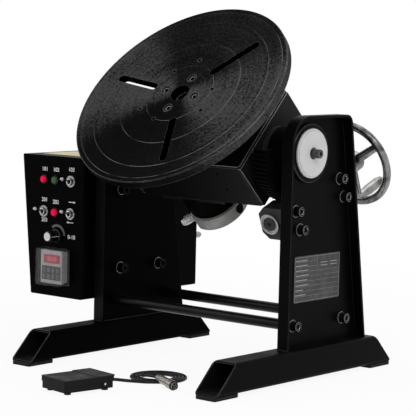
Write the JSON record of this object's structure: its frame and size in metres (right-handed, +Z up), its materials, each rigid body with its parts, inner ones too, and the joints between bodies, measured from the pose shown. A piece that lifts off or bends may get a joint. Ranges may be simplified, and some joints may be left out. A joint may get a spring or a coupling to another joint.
{
  "type": "welding positioner",
  "caption": "Bench welding positioner: a slotted turntable on a worm-tilted carriage between two columns, with handwheel, control box and foot pedal.",
  "frame": {"origin": "on the floor under the middle of the tilt axis", "axes": "+X along the tilt axis towards the dial side, +Y to the back of the stand, +Z up"},
  "size_m": [0.6097, 0.6733, 0.6161],
  "materials": {
    "black_bolt": "blackened cap screws",
    "black_oxide": "turned steel, blackened",
    "black_paint": "satin black enamel",
    "black_plastic": "moulded",
    "board_green": "circuit board",
    "cast_aluminium": "bare casting",
    "chrome": "plated",
    "clear_hood": "clear moulded",
    "dial_face": "white scale on steel",
    "green_plastic": "moulded",
    "knob_black": "moulded",
    "plate_silver": "bare plate",
    "polished_aluminium": "polished casting",
    "red_plastic": "moulded",
    "rubber": "matt",
    "steel": "ground steel"
  },
  "bodies": {
    "stand": {"foot_left": "black_paint", "foot_right": "black_paint", "floor_pads": "black_paint", "column_left": "black_paint", "column_right": "black_paint", "tie_rods": "black_paint", "column_washers": "black_bolt", "column_screws": "black_bolt", "bearing_flanges": "black_oxide", "worm_housing": "black_paint", "worm_caps": "cast_aluminium", "worm_bearings": "steel", "box_shell": "black_paint", "box_panel": "black_paint", "box_spacers": "steel", "panel_nuts": "chrome", "toggle_bushes": "chrome", "control_board": "board_green", "rear_socket": "chrome", "rating_plate": "plate_silver", "timer_case": "black_plastic", "pilot_lamp": "red_plastic", "pedal_base": "black_paint", "pedal_feet": "rubber", "pedal_pin": "steel", "pedal_cord": "rubber", "cord_coil": "rubber", "plug_shell": "chrome"},
    "carriage": {"tilt_shaft_left": "steel", "tilt_shaft_right": "steel", "tilt_dial": "dial_face", "worm_wheel": "black_oxide", "wheel_screws": "black_bolt", "carriage_sides": "black_paint", "carriage_walls": "black_paint", "carriage_deck": "black_paint", "drive_deck": "black_paint", "spindle_case": "black_paint", "spindle_bearings": "steel", "drive_gearcase": "black_paint", "drive_casting": "cast_aluminium", "drive_motor": "black_paint", "drive_gland": "chrome"},
    "table": {"table_plate": "black_oxide", "table_screws": "black_bolt", "spindle": "steel", "spindle_gear": "steel"},
    "pinion": {"drive_pinion": "steel"},
    "worm": {"worm_shaft": "steel", "handwheel": "polished_aluminium"},
    "crank": {"crank_handle": "polished_aluminium"},
    "power_lever": {"toggle_power": "chrome"},
    "mode_lever": {"toggle_mode": "chrome"},
    "direction_lever": {"toggle_direction": "chrome"},
    "reset": {"reset_button": "green_plastic"},
    "lock": {"lock_button": "red_plastic"},
    "speed": {"speed_knob": "knob_black"},
    "hood": {"timer_hood": "clear_hood"},
    "treadle": {"pedal_treadle": "black_paint"},
    "plug_ring": {"plug_nut": "chrome"}
  },
  "joints": [
    {"name": "table_tilt", "type": "hinge", "parent": "stand", "child": "carriage", "pos_m": [0, 0, 0.38], "axis": [1, 0, 0], "range_deg": [-46, 44]},
    {"name": "handwheel_turn", "type": "hinge", "parent": "stand", "child": "worm", "pos_m": [0.16, 0.03503, 0.29331], "axis": [0, 0.9272, 0.3746], "range_deg": [-2816, 2944]},
    {"name": "crank_handle_spin", "type": "hinge", "parent": "worm", "child": "crank", "pos_m": [0.16, 0.22664, 0.29954], "axis": [0, 0.9272, 0.3746], "continuous": true},
    {"name": "table_turn", "type": "hinge", "parent": "carriage", "child": "table", "pos_m": [0, 0, 0.38], "axis": [0, -0.7193, 0.6947], "continuous": true},
    {"name": "pinion_turn", "type": "hinge", "parent": "carriage", "child": "pinion", "pos_m": [-0.02796, -0.02304, 0.34463], "axis": [0, -0.7193, 0.6947], "continuous": true},
    {"name": "power_switch", "type": "hinge", "parent": "stand", "child": "power_lever", "pos_m": [-0.248, -0.0995, 0.305], "axis": [1, 0, 0], "range_deg": [0, 28]},
    {"name": "mode_switch", "type": "hinge", "parent": "stand", "child": "mode_lever", "pos_m": [-0.314, -0.0995, 0.247], "axis": [1, 0, 0], "range_deg": [0, 28]},
    {"name": "direction_switch", "type": "hinge", "parent": "stand", "child": "direction_lever", "pos_m": [-0.248, -0.0995, 0.247], "axis": [1, 0, 0], "range_deg": [0, 28]},
    {"name": "reset_press", "type": "slide", "parent": "stand", "child": "reset", "axis": [0, 1, 0], "range_m": [0, 0.003], "stiffness_N_per_m": 600, "springref_m": -0.002},
    {"name": "lock_press", "type": "slide", "parent": "stand", "child": "lock", "axis": [0, 1, 0], "range_m": [0, 0.003], "stiffness_N_per_m": 600, "springref_m": -0.002},
    {"name": "speed_turn", "type": "hinge", "parent": "stand", "child": "speed", "pos_m": [-0.282, -0.098, 0.205], "axis": [0, -1, 0], "range_deg": [-150, 150]},
    {"name": "hood_swing", "type": "hinge", "parent": "stand", "child": "hood", "pos_m": [-0.3116, -0.1001, 0.15], "axis": [0, 0, -1], "range_deg": [0, 90]},
    {"name": "treadle_press", "type": "hinge", "parent": "stand", "child": "treadle", "pos_m": [0.01371, -0.31246, 0.0115], "axis": [0.9848, -0.1736, 0], "range_deg": [0, 3.5], "stiffness_Nm_per_rad": 6, "springref_deg": -6.88},
    {"name": "plug_ring_turn", "type": "hinge", "parent": "stand", "child": "plug_ring", "pos_m": [0.1134, -0.23469, 0.00922], "axis": [0.9252, -0.3733, -0.0676], "continuous": true}
  ],
  "couplings": [
    {"joint": "handwheel_turn", "follows": "table_tilt", "ratio": -64},
    {"joint": "pinion_turn", "follows": "table_turn", "ratio": -3}
  ]
}
